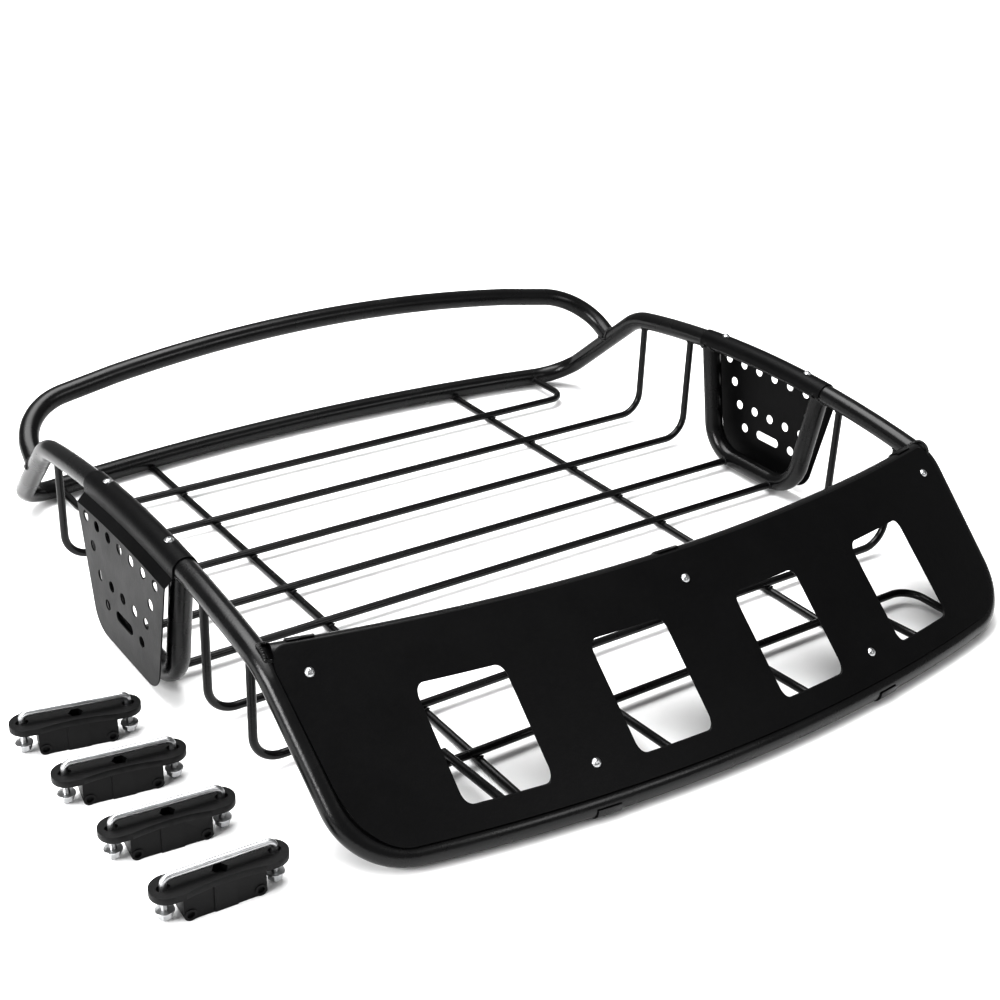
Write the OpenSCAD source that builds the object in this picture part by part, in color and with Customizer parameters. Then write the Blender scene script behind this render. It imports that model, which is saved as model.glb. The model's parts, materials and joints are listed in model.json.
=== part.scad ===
// Roof cargo basket: a welded tray of bent tube and rod with a wind fairing in front,
// a raised hoop behind, a perforated cover on each side and four U-bolt bar clamps.
// Millimetres. +Z is up, the ground is z = 0, the fairing faces -Y and the hoop is at +Y.

/* [Basket] */
// Width between the centres of the two side rails
rail_span = 914; // [760:2:1100]
// How much narrower each side of the rim is at its lower corners
low_taper = 12; // [0:1:30]
// Distance between neighbouring cross rods
rod_pitch = 101.6; // [84:0.2:122]
// Distance between the two middle cross rods
middle_gap = 91; // [76:1:110]
// Height of a side rail's centre at mid-length
rail_z = 178.3; // [148:0.1:214]
// Radius of the side rails' upward crown
crown_r = 1575; // [1300:5:2000]
// Slope of the rim's two ends
end_slope = 41.4; // [35:0.1:48]

/* [Tube and rod] */
// Outer diameter of the frame tube
tube_d = 25.4; // [21.2:0.1:30.5]
// Wall of the frame tube
tube_wall = 1.5; // [1:0.1:2]
// Diameter of the floor rods
rod_d = 9.5; // [8:0.1:11.4]
// Air under the rim's low tubes
low_tube_lift = 2.8; // [1:0.1:6]
// Depth that one rod sinks into the next at a weld
weld_sink = 0.3; // [0.1:0.1:0.6]
// Depth that a butted end reaches into the tube it is welded to
butt_sink = 1.2; // [0.6:0.1:1.5]
// Depth of a coped tube end, past the skin of the tube it is welded to
cope_depth = 6; // [3:0.5:9]

/* [Rim] */
// Distance of the rear upper corner in from the last cross rod
rear_corner_in = 79; // [60:1:100]
// Distance of the front upper corner in from the first cross rod
front_corner_in = 62; // [50:1:90]
// Bend radius of the upper corners
top_bend = 77; // [60:1:90]
// Gap between the rim's two halves inside each cover's cap
joint_gap = 0.5; // [0.4:0.1:2]
// Bend radius of the rear lower corners
rear_low_bend = 60; // [45:1:75]
// Bend radius of the front lower corners
front_low_bend = 72; // [50:1:85]
// Backward bow of the rear low tube
rear_bow = 40; // [20:1:60]
// Forward bow of the front low tube, the top bar and the fairing
front_bow = 52; // [30:1:65]
// Distance from each end of the sleeve inside a rail joint to the U tube's leg
splice_end_gap = 6.3; // [3:0.1:12]
// Wall of the sleeve
splice_wall = 1.6; // [1:0.1:2.5]
// Clearance around the sleeve
splice_gap = 0.3; // [0.1:0.05:0.5]

/* [Rear hoop] */
// Distance from the upper corner down the slope to the hoop's foot
hoop_foot = 73; // [60:1:85]
// How far the hoop's arms lean back
hoop_back = 76.5; // [60:0.5:90]
// How far the hoop's arms rise
hoop_rise = 44; // [34:0.5:54]
// Inward lean of each arm
hoop_lean = 6; // [0:0.5:12]
// Bend radius of the hoop's corners
hoop_bend = 80; // [60:1:92]
// Backward bow of the hoop's crossbar
hoop_bow = 22.5; // [10:0.5:35]
// Upward bow of the hoop's crossbar
hoop_crown = 37.5; // [20:0.5:50]

/* [Floor] */
// Distance from each side rail's centre in to its lengthwise rod
long_rod_in = 205.5; // [150:0.5:260]
// Bend radius of the turned-up cross rods
rod_bend = 32; // [22:1:40]
// Inset of the turned-up rod ends from the rail's centre
rod_leg_in = 4; // [0:0.5:8]
// Distance from the side rails' centres in to the turned ends of the outer cross rods
end_rod_in = 68; // [45:1:90]
// Bend radius of those ends
end_rod_bend = 27; // [18:1:40]
// Overhang of a tie rod behind the first cross rod
tie_overhang = 8; // [5:1:20]
// Distance of a tie rod's front end behind the front tube's centre
tie_end_back = 6.5; // [5:0.5:9]

/* [Side U tubes and covers] */
// Distance between the U tube's legs under the rail
u_top_span = 214; // [190:1:240]
// Distance between its lower corners
u_low_span = 158; // [140:1:190]
// Bend radius of its lower corners
u_bend = 50; // [35:1:60]
// Air under its bottom
u_lift = 4.5; // [3:0.1:9]
// Thickness of the cover sheet
cover_t = 1.5; // [1:0.1:2.5]
// Distance from the rail's centre out to the cover's panel
cover_out = 23; // [17:0.5:28]
// Sheet beyond the outer holes of the cover's first row
cover_edge = 25; // [16:1:34]
// Cover width at the bottom
cover_low_w = 164; // [150:1:190]
// Air under the cover
cover_lift = 12.3; // [8:0.1:20]
// Corner radius at the cover's bottom
cover_corner = 32; // [15:1:40]
// Clearance between the cover's cap and the rail
cap_gap = 0.3; // [0.1:0.05:0.6]
// Depth of the cap's joggle below the rail's centre
joggle_depth = 24; // [20:0.5:30]
// Spacing of the cover's holes
hole_pitch = 30.5; // [26:0.1:34]
// Diameter of the cover's holes
hole_d = 13; // [8:0.5:18]
// Length of the slot in the cover's lowest row
hole_slot = 44; // [30:1:56]
// Distance from the rail's centre down to the first row of holes
hole_drop = 29; // [26:0.5:34]
// Distance between the two screws in each cap
cap_screw_span = 158; // [130:1:180]

/* [Fairing] */
// Thickness of the fairing sheet
sheet_t = 1.5; // [1:0.1:2.5]
// Clearance between the sheet and the tubes behind it
sheet_gap = 0.9; // [0.6:0.1:1]
// Height of the sheet's top edge over the rim's front corners
sheet_over = 18.6; // [14:0.1:24]
// Height of the sheet's bottom edge over the low tube's centre
sheet_up_from_low = 13.7; // [10:0.1:18]
// Inset of the sheet's top corners from the side rails' centres
sheet_top_in = 1; // [-4:0.5:10]
// Inset of the sheet's bottom corners from the rim's lower corners
sheet_low_in = 4; // [-4:0.5:12]
// Corner radius at the top
sheet_top_corner = 17; // [8:1:25]
// Corner radius at the bottom
sheet_low_corner = 50; // [30:1:60]
// Spacing of the four windows
window_pitch = 192.7; // [160:0.1:230]
// Width of a window
window_w = 94.6; // [80:0.1:114]
// Distance from the sheet's top edge down to the windows
window_drop = 41; // [34:0.5:50]
// Distance from the sheet's bottom edge up to the windows
window_rise = 16.2; // [10:0.1:24]
// Corner radius of a window
window_corner = 10; // [5:0.5:15]
// Distance from the rim's upper corner down the slope to the top bar
top_bar_drop = -7; // [-12:0.5:0]
// Distance of the outer top screws from the sheet's side edge
top_screw_in = 31; // [24:1:40]
// Distance from the sheet's top edge down to the top screws
top_screw_drop = 21.3; // [18:0.1:28]
// Distance of each bottom screw outside the middle of the bar between two windows
low_screw_out = 0.3; // [-8:0.1:8]
// Distance from the sheet's bottom edge up to the bottom screws
low_screw_rise = 19.8; // [14:0.1:26]
// Width of a strap
strap_w = 28; // [20:1:36]
// Thickness of a strap
strap_t = 1.5; // [1:0.1:2]
// Clearance of a strap around its tube
strap_gap = 0.2; // [0.1:0.05:0.4]

/* [Screws] */
// Shank diameter
screw_d = 5; // [4:0.5:6]
// Head diameter
head_d = 10.5; // [8:0.5:13]
// Head height
head_h = 3; // [2:0.1:4]
// Clearance around a shank
screw_gap = 0.3; // [0.1:0.05:0.5]
// Width across a nut's flats
nut_af = 8; // [7:0.5:10]
// Nut height
nut_h = 4; // [3:0.1:5]
// Clearance of a nut on its thread
thread_gap = 0.05; // [0.02:0.01:0.1]

/* [Clamps] */
// Flange beyond the end of each slot
flange_end = 6.5; // [5:0.5:10]
// Width of the flange at its ends
saddle_w = 34; // [28:1:40]
// Width of the block, and of the flange at its waist
waist_w = 26; // [20:1:30]
// Length of the flange's waist
waist_l = 76; // [60:1:90]
// Thickness of the flange
flange_t = 7; // [5:0.5:9]
// Height of the saddle
saddle_h = 35.5; // [30:0.5:42]
// Distance from each slot in to the saddle's block
block_in = 7; // [5:0.5:12]
// Corner radius of the block
block_corner = 5; // [2:0.5:8]
// Width of the rib on each face of the block
rib_w = 22; // [16:1:28]
// Depth of that rib
rib_depth = 1; // [0.5:0.5:3]
// Diameter of the round bosses at the block's lower corners
boss_d = 12; // [8:0.5:14]
// Diameter of the dimple in each boss
dimple_d = 7; // [4:0.5:9]
// Width across the flats of the hexagonal pocket
pocket_af = 13; // [10:0.5:16]
// Depth of the pocket
pocket_depth = 8; // [4:0.5:12]
// Rod diameter of the U-bolt
bolt_d = 7; // [6:0.1:8.4]
// Distance between the U-bolt's legs
bolt_span = 106; // [88:1:128]
// Gap between the U-bolt's bridge and the saddle under it
bridge_gap = 7; // [4:0.5:14]
// Bend radius of the U-bolt
bolt_bend = 7; // [6:0.5:12]
// Length of the slots in the flange
bolt_slot = 13; // [10:0.5:16]
// Clearance across the slots
slot_gap = 0.5; // [0.3:0.1:1]
// Washer diameter
washer_d = 18; // [15:0.5:22]
// Washer thickness
washer_t = 1.6; // [1:0.1:2.5]
// Thread that shows below each clamp nut
nut_up = 4; // [1:0.5:7]
// Width across the clamp nut's flats
clamp_nut_af = 13; // [11:0.5:15]
// Height of the clamp nut
clamp_nut_h = 6.5; // [5:0.1:8]
// Side gap from the rail's centre to the nearest clamp
clamp_side = 106; // [100:1:140]
// How far each clamp stands out past the one in front of it
clamp_shift = 5.3; // [0:0.1:10]
// Spacing of the clamps along the basket
clamp_step = 99; // [60:1:110]
// Position of the rear clamp
clamp_start = -102; // [-140:1:-60]
// Turn of the rear clamp
clamp_turn = -12; // [-20:0.5:0]
// Turn from each clamp to the next
clamp_fan = 3; // [0:0.1:5]

/* [Hidden] */

tube_sides = 16;
rod_sides = 12;
bend_step = 8;
round_fn = 48;

tube_r = tube_d / 2;
rod_r = rod_d / 2;
rail_x = rail_span / 2;
low_x = rail_x - low_taper;
long_x = rail_x - long_rod_in;
end_rod_x = rail_x - end_rod_in;
crown_z = rail_z - crown_r;

long_z = rod_r;
rod_z = long_z + rod_d - weld_sink;
low_tube_z = low_tube_lift + tube_r;
last_rod_y = middle_gap / 2 + 3 * rod_pitch;

rear_top_y = last_rod_y - rear_corner_in;
rear_top_z = crown_at(rear_top_y);
rear_low_y = rear_top_y + (rear_top_z - low_tube_z) / tan(end_slope);
front_top_y = -(last_rod_y - front_corner_in);
front_top_z = crown_at(front_top_y);
front_low_y = front_top_y - (front_top_z - low_tube_z) / tan(end_slope);

splice_length = u_top_span - tube_d - 2 * splice_end_gap;
cover_top_w = 6 * hole_pitch + 2 * cover_edge;

sheet_top_z = front_top_z + sheet_over;
sheet_low_z = low_tube_z + sheet_up_from_low;
sheet_top_x = rail_x - sheet_top_in;
sheet_low_x = low_x - sheet_low_in;
window_top_z = sheet_top_z - window_drop;
window_low_z = sheet_low_z + window_rise;
top_screw_z = sheet_top_z - top_screw_drop;
low_screw_z = sheet_low_z + low_screw_rise;

flange_l = bolt_span + bolt_slot + 2 * flange_end;
block_l = bolt_span - bolt_slot - 2 * block_in;
bridge_z = saddle_h + bridge_gap + bolt_d / 2;

black = [0.06, 0.06, 0.065];
sheet_black = [0.1, 0.1, 0.105];
zinc = [0.78, 0.79, 0.8];
plastic = [0.08, 0.08, 0.08];

// ---- helpers ----

function crown_at(y) = crown_z + sqrt(crown_r * crown_r - y * y);
function unit(v) = v / norm(v);
function last(list) = list[len(list) - 1];

// Points of an arc of radius r that rounds the corner at v between a and b.
function corner_arc(a, v, b, r) =
    let (
        u1 = unit(a - v),
        u2 = unit(b - v),
        half = acos(u1 * u2) / 2,
        turn = 180 - 2 * half,
        centre = v + unit(u1 + u2) * r / sin(half),
        from = (v + u1 * r / tan(half) - centre) / r,
        to = (v + u2 * r / tan(half) - centre) / r,
        n = max(2, ceil(turn / bend_step))
    )
    [for (i = [0 : n])
        centre + r * (sin(turn * (1 - i / n)) * from + sin(turn * i / n) * to) / sin(turn)];

// An open path through corners, each given as [point, radius].
function open_path(corners) =
    let (n = len(corners) - 1)
    [for (i = [0 : n])
        let (r = corners[i][1])
        each r == 0 ? [corners[i][0]]
            : corner_arc(corners[i - 1][0], corners[i][0], corners[i + 1][0], r)];

// A closed outline through corners, each given as [point, radius].
function outline(corners) =
    let (n = len(corners))
    [for (i = [0 : n - 1])
        let (r = corners[i][1])
        each r == 0 ? [corners[i][0]]
            : corner_arc(corners[(i + n - 1) % n][0], corners[i][0], corners[(i + 1) % n][0], r)];

// The two ends of a bar, bowed in the middle by the vector "bow".
function bowed_bar(x, y, z, bow, reach, n) =
    [for (i = [0 : n])
        let (px = reach * (1 - 2 * i / n), part = 1 - pow(px / x, 2))
        [px, y + bow.y * part, z + bow.z * part]];

function tangent(path, i) =
    unit(path[min(i + 1, len(path) - 1)] - path[max(i - 1, 0)]);

// One ring of points around a path. "side" is a direction that the path never follows.
function ring(path, i, r, sides, side) =
    let (t = tangent(path, i), u = unit(cross(side, t)), v = cross(t, u))
    [for (k = [0 : sides - 1])
        path[i] + r * (cos(360 * (k + 0.5) / sides) * u + sin(360 * (k + 0.5) / sides) * v)];

// A solid bar swept along a path.
module bent_bar(path, d, sides, side) {
    rings = len(path);
    points = [for (i = [0 : rings - 1]) each ring(path, i, d / 2, sides, side)];
    walls = [for (i = [0 : rings - 2], k = [0 : sides - 1])
        let (a = i * sides + k, b = i * sides + (k + 1) % sides)
        [a, a + sides, b + sides, b]];
    first_end = [for (k = [0 : sides - 1]) k];
    last_end = [for (k = [sides - 1 : -1 : 0]) (rings - 1) * sides + k];
    polyhedron(points, concat(walls, [first_end, last_end]));
}

// A hollow tube swept along a path, open at both ends.
module bent_tube(path, d, wall, side) {
    sides = tube_sides;
    rings = len(path);
    inner = rings * sides;
    points = concat(
        [for (i = [0 : rings - 1]) each ring(path, i, d / 2, sides, side)],
        [for (i = [0 : rings - 1]) each ring(path, i, d / 2 - wall, sides, side)]);
    outer_walls = [for (i = [0 : rings - 2], k = [0 : sides - 1])
        let (a = i * sides + k, b = i * sides + (k + 1) % sides)
        [a, a + sides, b + sides, b]];
    inner_walls = [for (f = outer_walls) [for (j = [3 : -1 : 0]) f[j] + inner]];
    first_rim = [for (k = [0 : sides - 1])
        let (a = k, b = (k + 1) % sides)
        [a, b, b + inner, a + inner]];
    last_rim = [for (k = [0 : sides - 1])
        let (a = (rings - 1) * sides + k, b = (rings - 1) * sides + (k + 1) % sides)
        [b, a, a + inner, b + inner]];
    polyhedron(points, concat(outer_walls, inner_walls, first_rim, last_rim));
}

// A straight round bar between two points.
module bar_between(a, b, d) {
    v = b - a;
    translate(a)
        rotate([0, acos(v.z / norm(v)), atan2(v.y, v.x)])
            cylinder(h = norm(v), d = d, $fn = round_fn);
}

module both_sides() {
    children();
    mirror([1, 0, 0]) children();
}

// ---- rim ----

// The rim's half behind (end = 1) or in front of (end = -1) the rail joints.
function rim_path(end, top_y, low_y, bow, low_bend) =
    let (
        steps = 6,
        reach = abs(top_y) - top_bend / 2,
        rail = [for (i = [0 : steps])
            let (y = end * (joint_gap / 2 + reach * i / steps))
            [[rail_x, y, crown_at(y)], 0]],
        right = concat(rail, [
            [[rail_x, top_y, crown_at(top_y)], top_bend],
            [[low_x, low_y, low_tube_z], low_bend]]),
        bar = [for (p = bowed_bar(low_x, low_y, low_tube_z, [0, end * bow, 0], 0.78 * low_x, 12))
            [p, 0]],
        left = [for (i = [len(right) - 1 : -1 : 0])
            [[-right[i][0].x, right[i][0].y, right[i][0].z], right[i][1]]]
    )
    open_path(concat(right, bar, left));

module rear_rim_tube() {
    color(black)
        bent_tube(rim_path(1, rear_top_y, rear_low_y, rear_bow, rear_low_bend),
            tube_d, tube_wall, [0, 0, 1]);
}

module front_rim_tube() {
    color(black)
        bent_tube(rim_path(-1, front_top_y, front_low_y, front_bow, front_low_bend),
            tube_d, tube_wall, [0, 0, 1]);
}

// Sleeves that join the two halves inside the side rails.
module rail_splices() {
    steps = 6;
    sleeve = [for (i = [0 : steps])
        let (y = splice_length * (i / steps - 0.5))
        [rail_x, y, crown_at(y)]];
    color(zinc)
        both_sides()
            bent_tube(sleeve, tube_d - 2 * tube_wall - 2 * splice_gap, splice_wall, [0, 0, 1]);
}

module rear_hoop() {
    along = hoop_foot / norm([low_x - rail_x, rear_low_y - rear_top_y, low_tube_z - rear_top_z]);
    foot = [
        rail_x + (low_x - rail_x) * along,
        rear_top_y + (rear_low_y - rear_top_y) * along,
        rear_top_z + (low_tube_z - rear_top_z) * along
    ];
    corner = foot + [-hoop_lean, hoop_back, hoop_rise];
    start = foot + unit(corner - foot) * (tube_r - cope_depth);
    bow = [0, hoop_bow, hoop_crown];
    bar = bowed_bar(corner.x, corner.y, corner.z, bow, 0.7 * corner.x, 12);
    path = open_path(concat(
        [[start, 0], [corner, hoop_bend]],
        [for (p = bar) [p, 0]],
        [[[-corner.x, corner.y, corner.z], hoop_bend], [[-start.x, start.y, start.z], 0]]));
    color(black) bent_tube(path, tube_d, tube_wall, [0, 0, 1]);
}

// ---- floor ----

function front_tube_y(x) = front_low_y - front_bow * (1 - pow(x / low_x, 2));
function rear_tube_y(x) = rear_low_y + rear_bow * (1 - pow(x / low_x, 2));

// A cross rod whose ends turn up to the underside of the side rails.
module turned_up_rod(y) {
    x = rail_x - rod_leg_in;
    top = crown_at(y) - tube_r + butt_sink;
    path = open_path([
        [[x, y, top], 0],
        [[x, y, rod_z], rod_bend],
        [[-x, y, rod_z], rod_bend],
        [[-x, y, top], 0]]);
    color(black) bent_bar(path, rod_d, rod_sides, [0, 1, 0]);
}

// A cross rod that runs straight between the bottoms of the two side U tubes.
module straight_rod(y) {
    reach = rail_x - tube_r + butt_sink;
    color(black) bar_between([-reach, y, rod_z], [reach, y, rod_z], rod_d);
}

// A cross rod whose ends turn outwards to one of the rim's low tubes.
module turned_out_rod(y, tube_y) {
    x = end_rod_x;
    toward = sign(tube_y - y);
    end_y = tube_y - toward * (tube_r - butt_sink);
    path = open_path([
        [[x, end_y, rod_z], 0],
        [[x, y, rod_z], end_rod_bend],
        [[-x, y, rod_z], end_rod_bend],
        [[-x, end_y, rod_z], 0]]);
    color(black) bent_bar(path, rod_d, rod_sides, [0, 0, 1]);
}

module cross_rod_1() { turned_out_rod(last_rod_y, rear_tube_y(end_rod_x)); }
module cross_rod_2() { turned_up_rod(last_rod_y - rod_pitch); }
module cross_rod_3() { turned_up_rod(last_rod_y - 2 * rod_pitch); }
module cross_rod_4() { straight_rod(middle_gap / 2); }
module cross_rod_5() { straight_rod(-middle_gap / 2); }
module cross_rod_6() { turned_up_rod(-last_rod_y + 2 * rod_pitch); }
module cross_rod_7() { turned_up_rod(-last_rod_y + rod_pitch); }
module cross_rod_8() { turned_out_rod(-last_rod_y, front_tube_y(end_rod_x)); }

module long_rod(x) {
    reach = sqrt(pow(tube_r, 2) - pow(low_tube_z - long_z, 2)) - butt_sink;
    color(black)
        bar_between([x, front_tube_y(x) + reach, long_z], [x, rear_tube_y(x) - reach, long_z], rod_d);
}
module long_rod_left() { long_rod(-long_x); }
module long_rod_right() { long_rod(long_x); }

// Short rods from the first cross rod up onto the front tube, one behind each window.
tie_end_rise = sqrt(pow(tube_r + rod_r - weld_sink, 2) - pow(tie_end_back, 2));

module front_tie_rods() {
    color(black)
        for (i = [-1.5 : 1 : 1.5]) {
            x = i * window_pitch;
            on_rod = [x, -last_rod_y, rod_z + rod_d - weld_sink];
            front = [x, front_tube_y(x) + tie_end_back, low_tube_z + tie_end_rise];
            back = on_rod + unit(on_rod - front) * tie_overhang;
            bar_between(back, front, rod_d);
        }
}

// ---- side U tubes and covers ----

module side_u_tube(side) {
    x = side * rail_x;
    bottom = u_lift + tube_r;
    top = crown_at(u_top_span / 2) - tube_r + cope_depth;
    path = open_path([
        [[x, u_top_span / 2, top], 0],
        [[x, u_low_span / 2, bottom], u_bend],
        [[x, -u_low_span / 2, bottom], u_bend],
        [[x, -u_top_span / 2, top], 0]]);
    color(black) bent_tube(path, tube_d, tube_wall, [1, 0, 0]);
}
module side_u_tube_left() { side_u_tube(-1); }
module side_u_tube_right() { side_u_tube(1); }

// Places children on a side rail's centre line at y, square to the crown.
module on_rail(y) {
    translate([rail_x, 0, crown_z])
        rotate([-asin(y / crown_r), 0, 0])
            translate([0, 0, crown_r])
                children();
}

// The cover's cap in section: over the rail, then out to the panel.
module cap_section() {
    r_in = tube_r + cap_gap;
    r_out = r_in + cover_t;
    panel_out = cover_out + cover_t / 2;
    panel_in = cover_out - cover_t / 2;
    lip = 4;
    shoulder = 8;
    fold = joggle_depth - 7;
    over = [for (a = [0 : 12 : 180]) a];
    points = concat(
        [[-joggle_depth - 2, panel_out], [-fold, panel_out], [-shoulder, r_out]],
        [for (a = over) [r_out * sin(a), r_out * cos(a)]],
        [[-lip, -r_out], [-lip, -r_in]],
        [for (a = over) [r_in * sin(a), -r_in * cos(a)]],
        [[-shoulder, r_in], [-fold, panel_in], [-joggle_depth - 2, panel_in]]);
    translate([crown_r, 0]) polygon(points);
}

module cover_cap() {
    half = asin(cover_top_w / 2 / crown_r);
    translate([rail_x, 0, crown_z])
        rotate([0, 90, 0])
            rotate([0, 0, 180 - half])
                rotate_extrude(angle = 2 * half, $fn = 720)
                    cap_section();
}

module round_slot(length, d) {
    square([length - d, d], center = true);
    for (s = [-1, 1])
        translate([s * (length - d) / 2, 0]) circle(d = d, $fn = round_fn);
}

module cover_panel() {
    edge = crown_r - joggle_depth;
    top_half = cover_top_w / 2;
    swing = asin(top_half / edge);
    top_edge = [for (a = [swing : -swing / 5 : -swing - 0.01])
        [edge * sin(a), crown_z + edge * cos(a)]];
    feet = [[-cover_low_w / 2, cover_lift], [cover_low_w / 2, cover_lift]];
    foot_left = corner_arc(last(top_edge), feet[0], feet[1], cover_corner);
    foot_right = corner_arc(feet[0], feet[1], top_edge[0], cover_corner);
    translate([rail_x + cover_out - cover_t / 2, 0, 0])
        rotate([90, 0, 90])
            linear_extrude(height = cover_t)
                polygon(concat(top_edge, foot_left, foot_right));
}

// The cover's holes, row by row down from the rail, with a slot in the middle of the last row.
module cover_holes() {
    first_row = rail_z - hole_drop;
    translate([rail_x + cover_out - 2 * cover_t, 0, 0])
        rotate([90, 0, 90])
            linear_extrude(height = 4 * cover_t) {
                for (i = [-3 : 3])
                    translate([i * hole_pitch, first_row]) circle(d = hole_d, $fn = round_fn);
                for (i = [-2.5, 2.5])
                    translate([i * hole_pitch, first_row - hole_pitch])
                        circle(d = hole_d, $fn = round_fn);
                for (i = [-2 : 2])
                    translate([i * hole_pitch, first_row - 2 * hole_pitch])
                        circle(d = hole_d, $fn = round_fn);
                for (i = [-1.5, 1.5])
                    translate([i * hole_pitch, first_row - 3 * hole_pitch])
                        circle(d = hole_d, $fn = round_fn);
                translate([0, first_row - 3 * hole_pitch]) round_slot(hole_slot, hole_d);
            }
}

module side_cover() {
    difference() {
        union() {
            cover_cap();
            cover_panel();
        }
        cover_holes();
        for (s = [-1, 1])
            on_rail(s * cap_screw_span / 2)
                cylinder(h = 2 * tube_r, d = screw_d + 2 * screw_gap, $fn = round_fn);
    }
}
module side_cover_left() { color(sheet_black) mirror([1, 0, 0]) side_cover(); }
module side_cover_right() { color(sheet_black) side_cover(); }

// A round-headed screw, its head's underside at z = 0 and its shank along -Z.
module round_screw(shank) {
    dome_r = (pow(head_d / 2, 2) + pow(head_h, 2)) / (2 * head_h);
    recess = 1.4;
    difference() {
        intersection() {
            translate([0, 0, head_h - dome_r]) sphere(r = dome_r, $fn = 64);
            cylinder(h = head_h + 1, d = head_d + 1, $fn = round_fn);
        }
        for (a = [0, 90])
            rotate([0, 0, a])
                translate([-head_d / 4, -0.6, head_h - recess])
                    cube([head_d / 2, 1.2, recess + 1]);
    }
    translate([0, 0, -shank]) cylinder(h = shank + 0.2, d = screw_d, $fn = round_fn);
}

module cover_screws() {
    color(zinc)
        both_sides()
            for (s = [-1, 1])
                on_rail(s * cap_screw_span / 2)
                    translate([0, 0, tube_r + cap_gap + cover_t])
                        round_screw(cap_gap + cover_t + 2 * tube_wall + splice_gap + splice_wall);
}

// ---- fairing ----

// The sheet is part of a large round shell whose axis follows the slope. Its inner face
// stands clear of the tubes, and its frame has Z up the slope and Y into the basket.
sheet_r = let (sag = front_bow * sin(end_slope)) (pow(low_x, 2) + pow(sag, 2)) / (2 * sag);
sheet_off = tube_r + sheet_gap;
sheet_y = front_top_y - sin(end_slope) * sheet_off - front_bow;
sheet_z = front_top_z + cos(end_slope) * sheet_off;

module sheet_frame() {
    translate([0, sheet_y, sheet_z]) rotate([end_slope - 90, 0, 0]) children();
}

// Distance up the slope of a point in the sheet's frame.
function up_slope(y, z) = (y - sheet_y) * cos(end_slope) + (z - sheet_z) * sin(end_slope);

// Distance up the slope of the sheet's inner face at x and a height z.
function sheet_up(x, z) =
    (z - sheet_z + cos(end_slope) * sheet_r * (1 - cos(asin(x / sheet_r)))) / sin(end_slope);

// Places children on the sheet's inner face, with Y into the basket.
module on_sheet(x, z) {
    sheet_frame()
        translate([0, sheet_r, sheet_up(x, z)])
            rotate([0, 0, asin(x / sheet_r)])
                translate([0, -sheet_r, 0])
                    children();
}

// Heights and places of the five fairing screws.
top_screw_xs = [-sheet_top_x + top_screw_in, 0, sheet_top_x - top_screw_in];
low_screw_xs = [-window_pitch - low_screw_out, window_pitch + low_screw_out];
screw_places = concat(
    [for (x = top_screw_xs) [x, top_screw_z]],
    [for (x = low_screw_xs) [x, low_screw_z]]);

top_bar_z = front_top_z - top_bar_drop * sin(end_slope);
top_bar_end_y = front_top_y - top_bar_drop * cos(end_slope);
function top_bar_y(x) = top_bar_end_y - front_bow * (1 - pow(x / low_x, 2));

module fairing_top_bar() {
    reach = rail_x - tube_r + 3 * butt_sink;
    steps = 14;
    path = [for (i = [0 : steps])
        let (x = reach * (1 - 2 * i / steps))
        [x, top_bar_y(x), top_bar_z]];
    color(black) bent_tube(path, tube_d, tube_wall, [0, 0, 1]);
}

module sheet_outline() {
    polygon(outline([
        [[-sheet_top_x, sheet_top_z], sheet_top_corner],
        [[-sheet_low_x, sheet_low_z], sheet_low_corner],
        [[sheet_low_x, sheet_low_z], sheet_low_corner],
        [[sheet_top_x, sheet_top_z], sheet_top_corner]]));
}

module window() {
    x = window_w / 2;
    polygon(outline([
        [[-x, window_top_z], window_corner],
        [[-x, window_low_z], window_corner],
        [[x, window_low_z], window_corner],
        [[x, window_top_z], window_corner]]));
}

module fairing_sheet() {
    depth = 2 * (front_bow + 200);
    color(sheet_black)
        difference() {
            intersection() {
                sheet_frame()
                    translate([0, sheet_r, -300])
                        difference() {
                            cylinder(h = 500, r = sheet_r + sheet_t, $fn = 720);
                            translate([0, 0, -1]) cylinder(h = 502, r = sheet_r, $fn = 720);
                        }
                translate([0, front_top_y, 0])
                    rotate([90, 0, 0])
                        linear_extrude(height = depth)
                            difference() {
                                sheet_outline();
                                for (i = [-1.5 : 1 : 1.5])
                                    translate([i * window_pitch, 0]) window();
                            }
            }
            for (p = screw_places)
                on_sheet(p.x, p.y)
                    rotate([90, 0, 0])
                        translate([0, 0, -sheet_t])
                            cylinder(h = 3 * sheet_t, d = screw_d + 2 * screw_gap, $fn = round_fn);
        }
}

// A strap seen along its tube: up from a lip below the tube, round the back of it and over
// to an ear behind the sheet. The origin is the screw's hole, and Y points away from the tube.
module strap_section(to_tube) {
    r_in = tube_r + strap_gap;
    r_out = r_in + strap_t;
    lip = 9.5;
    difference() {
        union() {
            translate([sheet_off, -to_tube]) circle(r = r_out, $fn = 96);
            translate([0, -to_tube + r_in]) square([sheet_off, strap_t]);
        }
        translate([sheet_off, -to_tube]) circle(r = r_in, $fn = 96);
        translate([sheet_off - 2 * r_out, -to_tube - lip]) square([2 * r_out, lip + r_in]);
    }
    translate([0.1, -to_tube + r_in]) square([strap_t, to_tube - r_in + head_d]);
}

// A strap with its screw hole at the origin of on_sheet(). "lean" is the tube's slant there.
module strap(to_tube, lean) {
    rotate([0, -lean, 0])
        mirror([0, 0, to_tube < 0 ? 1 : 0])
            difference() {
                rotate([90, 0, 90])
                    translate([0, 0, -strap_w / 2])
                        linear_extrude(height = strap_w)
                            strap_section(abs(to_tube));
                rotate([90, 0, 0])
                    translate([0, 0, -3 * strap_t])
                        cylinder(h = 4 * strap_t, d = screw_d + 2 * screw_gap, $fn = round_fn);
            }
}

// Slant of a bowed tube against the slope's cross direction at x.
function bow_lean(x) = atan(2 * front_bow * x / pow(low_x, 2) * cos(end_slope));

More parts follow.
